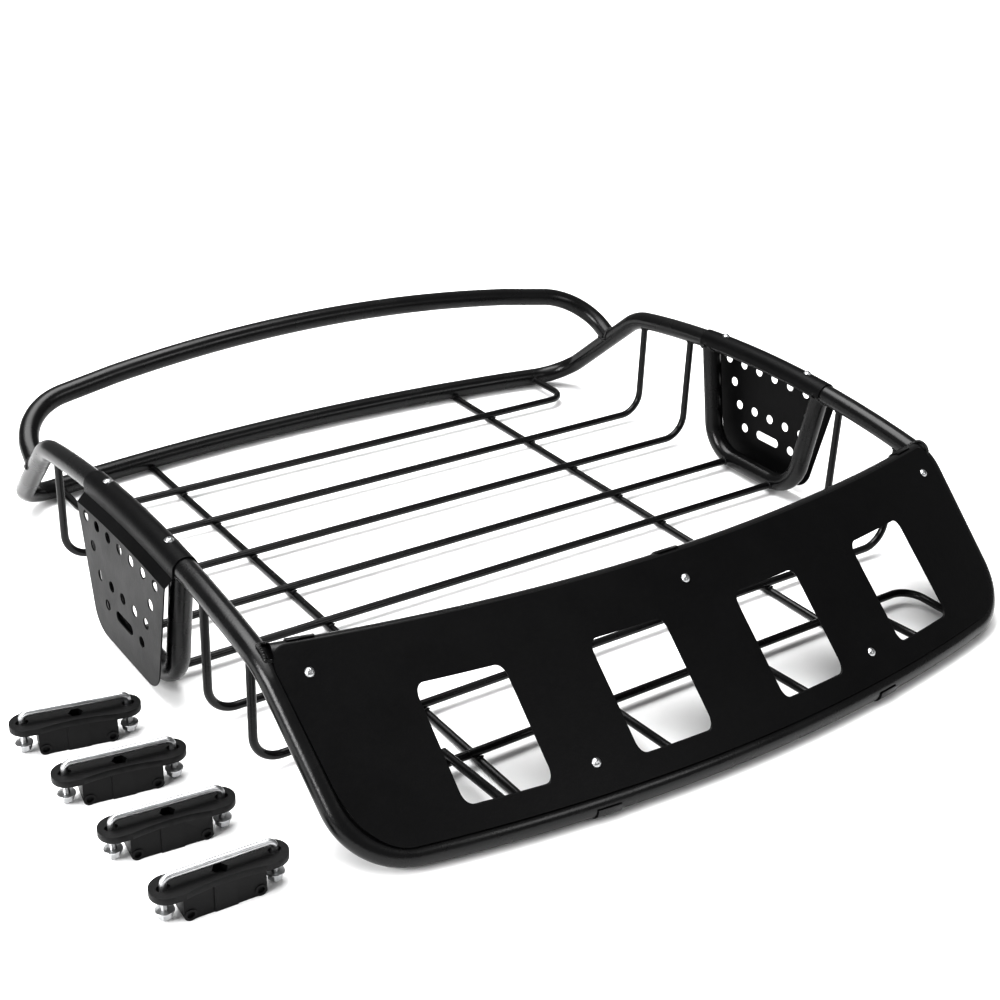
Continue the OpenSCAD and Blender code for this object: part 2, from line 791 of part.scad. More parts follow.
module fairing_straps_top() {
    color(black)
        for (x = top_screw_xs) {
            lean = bow_lean(x);
            up = sheet_up(x, top_screw_z) - up_slope(top_bar_y(x), top_bar_z);
            on_sheet(x, top_screw_z) strap(up * cos(lean), lean);
        }
}

module fairing_straps_low() {
    color(black)
        for (x = low_screw_xs) {
            lean = bow_lean(x);
            up = sheet_up(x, low_screw_z) - up_slope(front_tube_y(x), low_tube_z);
            on_sheet(x, low_screw_z) strap(up * cos(lean), lean);
        }
}

module fairing_screws() {
    color(zinc)
        for (p = screw_places)
            on_sheet(p.x, p.y)
                translate([0, -sheet_t, 0])
                    rotate([90, 0, 0])
                        round_screw(sheet_t + strap_t + 0.1 + nut_h + 1.5);
}

module hex_nut(af, h, bore) {
    difference() {
        cylinder(h = h, d = af / cos(30), $fn = 6);
        translate([0, 0, -1]) cylinder(h = h + 2, d = bore, $fn = round_fn);
    }
}

module fairing_nuts() {
    color(zinc)
        for (p = screw_places)
            on_sheet(p.x, p.y)
                translate([0, strap_t + 0.1, 0])
                    rotate([-90, 0, 0])
                        hex_nut(nut_af, nut_h, screw_d + 2 * thread_gap);
}

// ---- clamps ----

// Places children at clamp k = 1 (rear) to 4 (front), standing loose on the ground.
module at_clamp(k) {
    x = -rail_x - clamp_side - (4 - k) * clamp_shift;
    translate([x, clamp_start - (k - 1) * clamp_step, 0])
        rotate([0, 0, clamp_turn + (k - 1) * clamp_fan])
            children();
}

module at_legs() {
    for (s = [-1, 1]) translate([s * bolt_span / 2, 0, 0]) children();
}

// The flange in plan: a slot shape whose long sides curve in to the waist.
module flange_plan() {
    dip = (saddle_w - waist_w) / 2;
    r = (pow(waist_l / 2, 2) + pow(dip, 2)) / (2 * dip);
    difference() {
        round_slot(flange_l, saddle_w);
        for (s = [-1, 1])
            translate([0, s * (waist_w / 2 + r)]) circle(r = r, $fn = 360);
    }
}

module saddle() {
    block_h = saddle_h - flange_t;
    boss_x = block_l / 2 - boss_d / 2;
    difference() {
        union() {
            translate([0, 0, block_h])
                linear_extrude(height = flange_t) flange_plan();
            rotate([90, 0, 0])
                translate([0, 0, -waist_w / 2 + rib_depth])
                    linear_extrude(height = waist_w - 2 * rib_depth)
                        block_outline(block_h + 1);
            translate([-rib_w / 2, -waist_w / 2, 0]) cube([rib_w, waist_w, block_h + 1]);
            for (s = [-1, 1])
                translate([s * boss_x, waist_w / 2, boss_d / 2])
                    rotate([90, 0, 0]) cylinder(h = waist_w, d = boss_d, $fn = round_fn);
        }
        translate([0, 0, saddle_h - pocket_depth])
            cylinder(h = pocket_depth + 1, d = pocket_af / cos(30), $fn = 6);
        for (s = [-1, 1], face = [-1, 1])
            translate([s * boss_x, face * (waist_w / 2 - 1) + 2, boss_d / 2])
                rotate([90, 0, 0]) cylinder(h = 4, d = dimple_d, $fn = round_fn);
        at_legs()
            translate([0, 0, block_h - 1])
                linear_extrude(height = flange_t + 2) round_slot(bolt_slot, bolt_d + 2 * slot_gap);
    }
}

// The block's front view, with rounded lower corners.
module block_outline(h) {
    c = block_corner;
    translate([-block_l / 2, c]) square([block_l, h - c]);
    translate([-block_l / 2 + c, 0]) square([block_l - 2 * c, h]);
    for (s = [-1, 1])
        translate([s * (block_l / 2 - c), c]) circle(r = c, $fn = round_fn);
}

module u_bolt() {
    corner = bolt_span / 2 - bolt_bend;
    at_legs() cylinder(h = bridge_z - bolt_bend, d = bolt_d, $fn = round_fn);
    for (s = [0, 1])
        mirror([s, 0, 0])
            translate([corner, 0, bridge_z - bolt_bend])
                rotate([90, 0, 0])
                    rotate_extrude(angle = 90, $fn = 96)
                        translate([bolt_bend, 0]) circle(d = bolt_d, $fn = round_fn);
    translate([-corner, 0, bridge_z])
        rotate([0, 90, 0]) cylinder(h = 2 * corner, d = bolt_d, $fn = round_fn);
}

module washers() {
    at_legs()
        translate([0, 0, nut_up + clamp_nut_h])
            difference() {
                cylinder(h = washer_t, d = washer_d, $fn = round_fn);
                translate([0, 0, -1])
                    cylinder(h = washer_t + 2, d = bolt_d + 2 * thread_gap, $fn = round_fn);
            }
}

module nuts() {
    at_legs()
        translate([0, 0, nut_up]) hex_nut(clamp_nut_af, clamp_nut_h, bolt_d + 2 * thread_gap);
}

rear_rim_tube();
front_rim_tube();
rail_splices();
rear_hoop();
fairing_top_bar();
cross_rod_1();
cross_rod_2();
cross_rod_3();
cross_rod_4();
cross_rod_5();
cross_rod_6();
cross_rod_7();
cross_rod_8();
long_rod_left();
long_rod_right();
front_tie_rods();
side_u_tube_left();
side_u_tube_right();
side_cover_left();
side_cover_right();
cover_screws();
fairing_sheet();
fairing_straps_top();
fairing_straps_low();
fairing_screws();
fairing_nuts();
color(plastic) at_clamp(1) saddle();  // saddle_1
color(zinc) at_clamp(1) u_bolt();  // u_bolt_1
color(zinc) at_clamp(1) washers();  // washers_1
color(zinc) at_clamp(1) nuts();  // nuts_1
color(plastic) at_clamp(2) saddle();  // saddle_2
color(zinc) at_clamp(2) u_bolt();  // u_bolt_2
color(zinc) at_clamp(2) washers();  // washers_2
color(zinc) at_clamp(2) nuts();  // nuts_2
color(plastic) at_clamp(3) saddle();  // saddle_3
color(zinc) at_clamp(3) u_bolt();  // u_bolt_3
color(zinc) at_clamp(3) washers();  // washers_3
color(zinc) at_clamp(3) nuts();  // nuts_3
color(plastic) at_clamp(4) saddle();  // saddle_4
color(zinc) at_clamp(4) u_bolt();  // u_bolt_4
color(zinc) at_clamp(4) washers();  // washers_4
color(zinc) at_clamp(4) nuts();  // nuts_4
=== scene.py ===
# %% [markdown]
# # A roof cargo basket
# The basket is a tray of bent steel tube and rod, welded and powder coated black. It has a bowed
# wind fairing in front, a raised hoop behind and a perforated cover on each side. Four clamps
# with plated U-bolts lie beside it. The measured model gives every place, so this lesson is
# about surfaces: round tube that is truly round, weld beads, threads, coat and plate.

import json
import math

import bmesh
import bpy
import numpy as np
from mathutils import Matrix, Vector


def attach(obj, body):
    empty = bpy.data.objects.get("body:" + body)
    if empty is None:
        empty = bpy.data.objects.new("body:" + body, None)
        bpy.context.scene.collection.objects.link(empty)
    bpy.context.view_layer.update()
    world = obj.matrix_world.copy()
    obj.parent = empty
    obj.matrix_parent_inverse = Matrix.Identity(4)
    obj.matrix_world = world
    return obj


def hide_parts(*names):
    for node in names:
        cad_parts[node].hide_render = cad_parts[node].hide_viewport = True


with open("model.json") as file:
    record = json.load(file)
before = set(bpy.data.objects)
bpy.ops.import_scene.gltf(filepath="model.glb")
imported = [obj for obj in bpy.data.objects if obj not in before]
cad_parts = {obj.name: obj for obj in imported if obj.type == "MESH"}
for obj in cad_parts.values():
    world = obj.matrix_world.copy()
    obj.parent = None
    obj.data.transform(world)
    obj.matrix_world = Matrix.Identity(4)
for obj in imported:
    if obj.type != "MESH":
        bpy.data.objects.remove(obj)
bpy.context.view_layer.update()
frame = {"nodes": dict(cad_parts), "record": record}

# %% [markdown]
# ## Sizes
# A maker's drawing gives a handful of numbers, and the rest follows from them. Blender works in
# metres, so each size is a thousandth of the millimetres on the drawing. The tube is one inch
# across and the floor rod three eighths, which are stock sizes. Crossed rods sink a little into
# each other where they are welded, and a bar's end runs a little into the tube that it meets.

# %% The basket's main sizes
tube_r = 0.0127
rod_r = 0.00475
rail_x, low_x = 0.457, 0.445
crown_r, crown_z = 1.575, -1.3967
slope = math.radians(41.4)
rod_pitch, middle_gap = 0.1016, 0.091
last_rod_y = middle_gap / 2 + 3 * rod_pitch
weld_sink, cope = 0.0003, 0.0012
runner_x, runner_z = 0.2515, rod_r
rod_z = runner_z + 2 * rod_r - weld_sink
low_tube_z = 0.0028 + tube_r
tube_sides, rod_sides = 40, 28


def crown_at(y):
    """Height of a side rail's centre at y: the rails are part of one large circle."""
    return crown_z + math.sqrt(crown_r**2 - y * y)


rear_top_y = last_rod_y - 0.079
rear_low_y = rear_top_y + (crown_at(rear_top_y) - low_tube_z) / math.tan(slope)
front_top_y = -(last_rod_y - 0.062)
front_low_y = front_top_y - (crown_at(front_top_y) - low_tube_z) / math.tan(slope)
front_bow, rear_bow = 0.052, 0.040
print("rim from y =", round(front_low_y, 4), "to", round(rear_low_y, 4))

# %% [markdown]
# ## Bent paths
# A tube bender turns straight tube into arcs, so the centre line is straight runs joined by
# arcs. A curve with bevel depth could draw it, but a mesh built ring by ring keeps the bends
# exact and lets the same helper make threads and weld beads, whose radius changes as they go.

# %% Corners, bows and rings
def unit(v):
    v = np.asarray(v, float)
    return v / np.linalg.norm(v)


def corner_arc(before, corner, after, radius, step=3.0):
    """Points of the arc that rounds one corner, one every few degrees."""
    a, b = unit(before - corner), unit(after - corner)
    half = math.acos(float(a @ b)) / 2
    turn = math.pi - 2 * half
    centre = corner + unit(a + b) * radius / math.sin(half)
    start = unit(corner + a * radius / math.tan(half) - centre)
    stop = unit(corner + b * radius / math.tan(half) - centre)
    n = max(3, math.ceil(math.degrees(turn) / step))
    return [
        centre
        + radius * (math.sin(turn * (1 - i / n)) * start + math.sin(turn * i / n) * stop) / math.sin(turn)
        for i in range(n + 1)
    ]


def bent_path(corners):
    """Joins (point, bend radius) pairs into one centre line. Radius 0 leaves a point as it is."""
    pts = [np.asarray(p, float) for p, _ in corners]
    line = []
    for i, (_, radius) in enumerate(corners):
        line += [pts[i]] if radius == 0 else corner_arc(pts[i - 1], pts[i], pts[i + 1], radius)
    return line


def bowed(half_width, y, z, bow_y, bow_z=0.0, reach=0.78, steps=48):
    """A crossbar that bows towards its middle, as points with no bend radius."""
    points = []
    for i in range(steps + 1):
        x = reach * half_width * (1 - 2 * i / steps)
        part = 1 - (x / half_width) ** 2
        points.append(((x, y + bow_y * part, z + bow_z * part), 0))
    return points


def mirrored(half):
    """The other half of a path that is the same on both sides of the middle."""
    return [((-p[0], p[1], p[2]), radius) for p, radius in reversed(half)]


def swept(path, radius, sides, side, loop=False, chamfer=0.0):
    """Vertices and faces of a round bar along a path. "side" is a direction the path never takes,
    and "radius" is one number or an array with a row for each ring."""
    path = np.array(path, float)
    n = len(path)
    if loop:
        tangent = np.roll(path, -1, 0) - np.roll(path, 1, 0)
    else:
        tangent = np.gradient(path, axis=0)
    tangent /= np.linalg.norm(tangent, axis=1)[:, None]
    if np.ndim(radius) == 1:
        radius = np.reshape(radius, (-1, 1))
    radius = np.array(np.broadcast_to(radius, (n, sides)), float)
    if chamfer and not loop:
        first, last = path[:1] + tangent[:1] * chamfer, path[-1:] - tangent[-1:] * chamfer
        path = np.vstack([path[:1], first, path[1:-1], last, path[-1:]])
        tangent = np.vstack([tangent[:1], tangent, tangent[-1:]])
        radius = np.vstack([radius[:1] - chamfer, radius, radius[-1:] - chamfer])
        n += 2
    u = np.cross(np.broadcast_to(side, tangent.shape), tangent)
    u /= np.linalg.norm(u, axis=1)[:, None]
    v = np.cross(tangent, u)
    angle = 2 * math.pi * np.arange(sides) / sides
    cos, sin = np.cos(angle)[None, :, None], np.sin(angle)[None, :, None]
    verts = path[:, None] + radius[..., None] * (cos * u[:, None] + sin * v[:, None])
    verts = verts.reshape(-1, 3)
    faces = []
    for i in range(n if loop else n - 1):
        a, b = i * sides, (i + 1) % n * sides
        faces += [(a + k, a + (k + 1) % sides, b + (k + 1) % sides, b + k) for k in range(sides)]
    if not loop:
        faces += [tuple(range(sides))[::-1], tuple((n - 1) * sides + k for k in range(sides))]
    return verts, faces


UP, ALONG, ACROSS = np.array([0, 0, 1.0]), np.array([0, 1.0, 0]), np.array([1.0, 0, 0])
print("an arc of a quarter turn has", len(corner_arc(ACROSS, np.zeros(3), ALONG, 0.1)), "points")

# %% [markdown]
# ## Shared surface effects
# A finish is rarely one flat value. Powder coat has a faint orange-peel ripple from melting in
# the oven, plate has cloudy patches from its bath, and everything gathers a little dust on its
# upper side. Each effect is a node group with named inputs, so one effect serves every finish
# with that finish's own numbers. The groups give only heights, masks, colours and values.

# %% A helper that makes one node group
def effect(name, inputs, output, kind):
    """An empty node group with float or colour inputs and one output. Returns its parts."""
    group = bpy.data.node_groups.new(name, "ShaderNodeTree")
    for label, value in inputs.items():
        colour = isinstance(value, tuple)
        socket = group.interface.new_socket(
            name=label, in_out="INPUT", socket_type="NodeSocketColor" if colour else "NodeSocketFloat"
        )
        socket.default_value = (*value, 1.0) if colour else value
    group.interface.new_socket(name=output, in_out="OUTPUT", socket_type=kind)
    way_in, way_out = group.nodes.new("NodeGroupInput"), group.nodes.new("NodeGroupOutput")
    way_in.location, way_out.location = (-700, 0), (500, 0)
    return group, way_in, way_out


def node(tree, kind, place, **settings):
    made = tree.nodes.new(kind)
    made.location = place
    for key, value in settings.items():
        if key in made.inputs:
            made.inputs[key].default_value = value
        else:
            setattr(made, key, value)
    return made


def wire(tree, source, target):
    tree.links.new(source, target)


# %% Orange peel: the ripple of melted powder
orange_peel, peel_in, peel_out = effect(
    "orange_peel",
    {"Ripple Scale": 420.0, "Wave Scale": 90.0, "Wave Share": 0.35},
    "Height",
    "NodeSocketFloat",
)
place = node(orange_peel, "ShaderNodeTexCoord", (-700, -200))
ripple = node(orange_peel, "ShaderNodeTexNoise", (-400, 120), Detail=2.0, Roughness=0.45)
wave = node(orange_peel, "ShaderNodeTexNoise", (-400, -180), Detail=1.0, Roughness=0.4)
share = node(orange_peel, "ShaderNodeMath", (-100, -180), operation="MULTIPLY")
total = node(orange_peel, "ShaderNodeMath", (200, 0), operation="ADD")
for noise, label in ((ripple, "Ripple Scale"), (wave, "Wave Scale")):
    wire(orange_peel, place.outputs["Object"], noise.inputs["Vector"])
    wire(orange_peel, peel_in.outputs[label], noise.inputs["Scale"])
wire(orange_peel, wave.outputs["Fac"], share.inputs[0])
wire(orange_peel, peel_in.outputs["Wave Share"], share.inputs[1])
wire(orange_peel, ripple.outputs["Fac"], total.inputs[0])
wire(orange_peel, share.outputs[0], total.inputs[1])
wire(orange_peel, total.outputs[0], peel_out.inputs["Height"])

# %% Patches: a slow drift between two values
patches, patch_in, patch_out = effect(
    "patches", {"Scale": 14.0, "Low": 0.3, "High": 0.4}, "Value", "NodeSocketFloat"
)
place = node(patches, "ShaderNodeTexCoord", (-700, -200))
cloud = node(patches, "ShaderNodeTexNoise", (-400, 0), Detail=4.0, Roughness=0.55)
spread = node(patches, "ShaderNodeMapRange", (-100, 0))
spread.inputs["From Min"].default_value, spread.inputs["From Max"].default_value = 0.35, 0.65
wire(patches, place.outputs["Object"], cloud.inputs["Vector"])
wire(patches, patch_in.outputs["Scale"], cloud.inputs["Scale"])
wire(patches, cloud.outputs["Fac"], spread.inputs["Value"])
wire(patches, patch_in.outputs["Low"], spread.inputs["To Min"])
wire(patches, patch_in.outputs["High"], spread.inputs["To Max"])
wire(patches, spread.outputs["Result"], patch_out.inputs["Value"])

# %% Settled dust: a mask that is stronger on upward faces
settled_dust, dust_in, dust_out = effect(
    "settled_dust", {"Scale": 160.0, "Amount": 0.12}, "Mask", "NodeSocketFloat"
)
place = node(settled_dust, "ShaderNodeTexCoord", (-700, -200))
facing = node(settled_dust, "ShaderNodeNewGeometry", (-700, -450))
split = node(settled_dust, "ShaderNodeSeparateXYZ", (-480, -450))
upward = node(settled_dust, "ShaderNodeMapRange", (-260, -400))
upward.inputs["From Min"].default_value, upward.inputs["From Max"].default_value = 0.35, 1.0
specks = node(settled_dust, "ShaderNodeTexNoise", (-480, 0), Detail=5.0, Roughness=0.7)
thin = node(settled_dust, "ShaderNodeMapRange", (-260, 0))
thin.inputs["From Min"].default_value, thin.inputs["From Max"].default_value = 0.45, 0.75
both = node(settled_dust, "ShaderNodeMath", (0, 0), operation="MULTIPLY")
weighed = node(settled_dust, "ShaderNodeMath", (220, 0), operation="MULTIPLY")
wire(settled_dust, place.outputs["Object"], specks.inputs["Vector"])
wire(settled_dust, dust_in.outputs["Scale"], specks.inputs["Scale"])
wire(settled_dust, facing.outputs["Normal"], split.inputs[0])
wire(settled_dust, split.outputs["Z"], upward.inputs["Value"])
wire(settled_dust, specks.outputs["Fac"], thin.inputs["Value"])
wire(settled_dust, thin.outputs["Result"], both.inputs[0])
wire(settled_dust, upward.outputs["Result"], both.inputs[1])
wire(settled_dust, both.outputs[0], weighed.inputs[0])
wire(settled_dust, dust_in.outputs["Amount"], weighed.inputs[1])
wire(settled_dust, weighed.outputs[0], dust_out.inputs["Mask"])
print("effects:", [g.name for g in (orange_peel, patches, settled_dust)])

# %% [markdown]
# ## Finishes
# Four finishes cover the whole basket. Black powder coat on tube and rod is glossy enough to
# carry a soft streak of light. The same coat looks flatter on sheet. Zinc plate is a pale metal
# with cloudy gloss, and the clamp saddles are moulded plastic with a fine spark-eroded grain.

# %% One recipe for every finish
def finish(
    name, colour, gloss, metallic=0.0, specular=0.5, peel=(420.0, 90.0, 0.35), relief=0.1,
    dust=0.1, dust_tint=(0.3, 0.29, 0.27), drift=0.1, patch_scale=14.0,
):
    """A material whose roughness drifts between the two values of "gloss"."""
    made = bpy.data.materials.new(name)
    made.use_nodes = True
    tree = made.node_tree
    shader = tree.nodes["Principled BSDF"]
    shader.inputs["Metallic"].default_value = metallic
    shader.inputs["Specular IOR Level"].default_value = specular
    tone = node(tree, "ShaderNodeGroup", (-900, 300), node_tree=patches)
    tone.inputs["Scale"].default_value = patch_scale * 1.7
    tone.inputs["Low"].default_value, tone.inputs["High"].default_value = 0.0, 1.0
    shade = node(tree, "ShaderNodeMix", (-650, 300), data_type="RGBA")
    shade.inputs["A"].default_value = (*[c * (1 - drift) for c in colour], 1)
    shade.inputs["B"].default_value = (*[c * (1 + drift) for c in colour], 1)
    powder = node(tree, "ShaderNodeGroup", (-900, 60), node_tree=settled_dust)
    powder.inputs["Amount"].default_value = dust
    dusted = node(tree, "ShaderNodeMix", (-350, 250), data_type="RGBA")
    dusted.inputs["B"].default_value = (*dust_tint, 1)
    sheen = node(tree, "ShaderNodeGroup", (-900, -160), node_tree=patches)
    sheen.inputs["Scale"].default_value = patch_scale
    sheen.inputs["Low"].default_value, sheen.inputs["High"].default_value = gloss
    duller = node(tree, "ShaderNodeMath", (-350, -100), operation="ADD")
    skin = node(tree, "ShaderNodeGroup", (-900, -400), node_tree=orange_peel)
    for label, value in zip(("Ripple Scale", "Wave Scale", "Wave Share"), peel):
        skin.inputs[label].default_value = value
    bump = node(tree, "ShaderNodeBump", (-350, -380), Strength=relief, Distance=0.001)
    wire(tree, tone.outputs["Value"], shade.inputs["Factor"])
    wire(tree, shade.outputs["Result"], dusted.inputs["A"])
    wire(tree, powder.outputs["Mask"], dusted.inputs["Factor"])
    wire(tree, dusted.outputs["Result"], shader.inputs["Base Color"])
    wire(tree, sheen.outputs["Value"], duller.inputs[0])
    wire(tree, powder.outputs["Mask"], duller.inputs[1])
    wire(tree, duller.outputs[0], shader.inputs["Roughness"])
    wire(tree, skin.outputs["Height"], bump.inputs["Height"])
    wire(tree, bump.outputs["Normal"], shader.inputs["Normal"])
    return made


powder_coat = finish(
    "powder_coat_tube", (0.002, 0.002, 0.0022), (0.22, 0.30), specular=0.3, relief=0.10, dust=0.006
)
sheet_coat = finish(
    "powder_coat_sheet", (0.0018, 0.0018, 0.002), (0.36, 0.46), specular=0.1, relief=0.16, dust=0.005
)
zinc_plate = finish(
    "zinc_plate", (0.42, 0.425, 0.43), (0.28, 0.42), metallic=1.0, peel=(700.0, 60.0, 0.5), relief=0.05,
    dust=0.03, patch_scale=55.0, drift=0.08,
)
moulded_black = finish(
    "moulded_black", (0.0022, 0.0022, 0.0024), (0.40, 0.50), specular=0.18, peel=(1500.0, 300.0, 0.3),
    relief=0.3, dust=0.004,
)
print("finishes:", [m.name for m in (powder_coat, sheet_coat, zinc_plate, moulded_black)])

# %% [markdown]
# ## Placing a piece
# Every new piece rides on one body of the measured model, may stand for one of its nodes, and
# names the record's finish. One helper does all of that, so no piece can be left behind.

# %% From vertices to a piece that rides on the basket
slot_finish = {
    "powder_coat": powder_coat,
    "sheet_coat": sheet_coat,
    "zinc": zinc_plate,
    "black_plastic": moulded_black,
}


def piece(name, shapes, slot, body="basket", stands_for=(), sharp=35):
    """One object from several (vertices, faces) shapes."""
    verts, faces = [], []
    for v, f in shapes:
        start = len(verts)
        verts += [tuple(p) for p in v]
        faces += [tuple(i + start for i in face) for face in f]
    mesh = bpy.data.meshes.new(name)
    mesh.from_pydata(verts, [], faces)
    bm = bmesh.new()
    bm.from_mesh(mesh)
    bmesh.ops.recalc_face_normals(bm, faces=bm.faces[:])
    bm.to_mesh(mesh)
    bm.free()
    mesh.polygons.foreach_set("use_smooth", [True] * len(mesh.polygons))
    mesh.set_sharp_from_angle(angle=math.radians(sharp))
    mesh.materials.append(slot_finish[slot])
    made = bpy.data.objects.new(name, mesh)
    bpy.context.scene.collection.objects.link(made)
    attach(made, body)
    if stands_for:
        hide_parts(*stands_for)
    print(name, len(mesh.polygons), "faces")
    return made


# %% [markdown]
# ## The rim
# The rim is two bent tubes that meet inside the side covers. Each runs along the crowned rails,
# bends down a slope at both corners and crosses the end in a gentle bow. The bends are drawn
# every three degrees with forty sides, so that the long streaks of light stay unbroken.

# %% Rear and front rim tubes
def rim_path(end, top_y, low_y, bow, low_bend, top_bend=0.077, half_gap=0.00025, rail_steps=24):
    """One half of the rim, from its joint in the left rail to its joint in the right one."""
    reach = abs(top_y) - top_bend / 2
    right = []
    for i in range(rail_steps + 1):
        y = half_gap + reach * i / rail_steps
        right.append(((rail_x, end * y, crown_at(y)), 0))
    right.append(((rail_x, top_y, crown_at(top_y)), top_bend))
    right.append(((low_x, low_y, low_tube_z), low_bend))
    return bent_path(right + bowed(low_x, low_y, low_tube_z, end * bow) + mirrored(right))


rear_rim = swept(rim_path(1, rear_top_y, rear_low_y, rear_bow, 0.060), tube_r, tube_sides, UP)
front_rim = swept(rim_path(-1, front_top_y, front_low_y, front_bow, 0.072), tube_r, tube_sides, UP)
piece("rim_rear", [rear_rim], "powder_coat", stands_for=["rear_rim_tube"])
piece("rim_front", [front_rim], "powder_coat", stands_for=["front_rim_tube"])

# %% [markdown]
# ## The rear hoop
# The hoop stands on the rear slopes and leans back, and its crossbar rises and bows away from
# the load. Its coped feet go a little way into the slope tube, so the joint closes all round.

# %% Rear hoop
corner_top = np.array([rail_x, rear_top_y, crown_at(rear_top_y)])
corner_low = np.array([low_x, rear_low_y, low_tube_z])
slope_run = unit(corner_low - corner_top)
hoop_foot = corner_top + slope_run * 0.073
hoop_corner = hoop_foot + np.array([-0.006, 0.0765, 0.044])
hoop_rise = unit(hoop_corner - hoop_foot)
hoop_start = hoop_foot + hoop_rise * (tube_r - 0.006)
hoop_side = [(hoop_start, 0), (hoop_corner, 0.080)]
hoop_bar = bowed(*hoop_corner, 0.0225, 0.0375, reach=0.7)
hoop_path = bent_path(hoop_side + hoop_bar + mirrored(hoop_side))
piece("hoop", [swept(hoop_path, tube_r, tube_sides, UP)], "powder_coat", stands_for=["rear_hoop"])

# %% [markdown]
# ## The fairing's top bar
# A straight length of tube, rolled to the same bow as the front of the rim, joins the front
# slopes just behind the sheet's upper edge.

# %% Top bar
top_bar_back = 0.007
top_bar_z = crown_at(front_top_y) + top_bar_back * math.sin(slope)
top_bar_end_y = front_top_y + top_bar_back * math.cos(slope)


def bow_y(x, end_y, bow):
    return end_y + bow * (1 - (x / low_x) ** 2)


bar_reach = rail_x - tube_r + 3 * cope
bar_xs = np.linspace(bar_reach, -bar_reach, 61)
bar_path = [(x, bow_y(x, top_bar_end_y, -front_bow), top_bar_z) for x in bar_xs]
piece("top_bar", [swept(bar_path, tube_r, tube_sides, UP)], "powder_coat", stands_for=["fairing_top_bar"])

# %% [markdown]
# ## The floor
# Eight cross rods lie on two lengthwise rods. The first and last turn out to the low tubes, the
# middle two run straight to the side U tubes, and the other four turn up to the side rails.

# %% Cross rods and lengthwise rods
up_x, out_x = rail_x - 0.004, rail_x - 0.068


def turned_up(y):
    half = [((up_x, y, crown_at(y) - tube_r + cope), 0), ((up_x, y, rod_z), 0.032)]
    return bent_path(half + mirrored(half))


def turned_out(y, tube_y):
    end_y = tube_y - math.copysign(tube_r - cope, tube_y - y)
    half = [((out_x, end_y, rod_z), 0), ((out_x, y, rod_z), 0.027)]
    return bent_path(half + mirrored(half))


rod_ys = [last_rod_y - i * rod_pitch for i in range(3)] + [middle_gap / 2]
rod_ys += [-y for y in reversed(rod_ys)]
for k, y in enumerate(rod_ys, 1):
    if k in (1, 8):
        end = (rear_low_y, rear_bow) if k == 1 else (front_low_y, -front_bow)
        line, side = turned_out(y, bow_y(out_x, *end)), UP
    elif k in (4, 5):
        reach = rail_x - tube_r + cope
        line, side = [(reach, y, rod_z), (0, y, rod_z), (-reach, y, rod_z)], UP
    else:
        line, side = turned_up(y), ALONG
    rod = swept(line, rod_r, rod_sides, side, chamfer=0.0005)
    piece(f"floor_rod_{k}", [rod], "powder_coat", stands_for=[f"cross_rod_{k}"])

runner_back = math.sqrt(tube_r**2 - (low_tube_z - runner_z) ** 2) - cope
for name, x in (("left", -runner_x), ("right", runner_x)):
    front_y = bow_y(x, front_low_y, -front_bow) + runner_back
    rear_y = bow_y(x, rear_low_y, rear_bow) - runner_back
    line = [(x, y, runner_z) for y in (front_y, 0, rear_y)]
    rod = swept(line, rod_r, rod_sides, UP, chamfer=0.0005)
    piece(f"runner_{name}", [rod], "powder_coat", stands_for=[f"long_rod_{name}"])

# %% Tie rods behind the windows
window_pitch, tie_back, tie_overhang = 0.1927, 0.0065, 0.008
tie_xs = [i * window_pitch for i in (-1.5, -0.5, 0.5, 1.5)]
tie_rise = math.sqrt((tube_r + rod_r - weld_sink) ** 2 - tie_back**2)
tie_ends = []
for x in tie_xs:
    seat = np.array([x, -last_rod_y, rod_z + 2 * rod_r - weld_sink])
    front = np.array([x, bow_y(x, front_low_y, -front_bow) + tie_back, low_tube_z + tie_rise])
    tie_ends.append((seat, front))
tie_rods = []
for seat, front in tie_ends:
    past = seat + unit(seat - front) * tie_overhang
    tie_rods.append(swept([past, front], rod_r, rod_sides, UP, chamfer=0.0006))
piece("tie_rods", tie_rods, "powder_coat", stands_for=["front_tie_rods"])

# %% [markdown]
# ## Side U tubes
# Behind each cover a short U of the same tube hangs from the rail and carries the two middle
# rods. Its ends are coped into the rail's underside.

# %% U tubes
u_z, u_top_y, u_low_y, u_bend = 0.0045 + tube_r, 0.107, 0.079, 0.05
u_top = crown_at(u_top_y) - tube_r + 5 * cope
for name, x in (("left", -rail_x), ("right", rail_x)):
    corners = [((x, u_top_y, u_top), 0), ((x, u_low_y, u_z), u_bend)]
    corners += [((x, -u_low_y, u_z), u_bend), ((x, -u_top_y, u_top), 0)]
    tube = swept(bent_path(corners), tube_r, tube_sides, ACROSS)
    piece(f"u_tube_{name}", [tube], "powder_coat", stands_for=[f"side_u_tube_{name}"])

# %% [markdown]
# ## Weld beads
# Where one tube or rod ends on another, a welder runs a rippled bead round the joint before
# coating. The bead follows the line where the two round surfaces cross. That line can be worked
# out: walk back from the end along the thin bar's skin until the skin leaves the thick one.

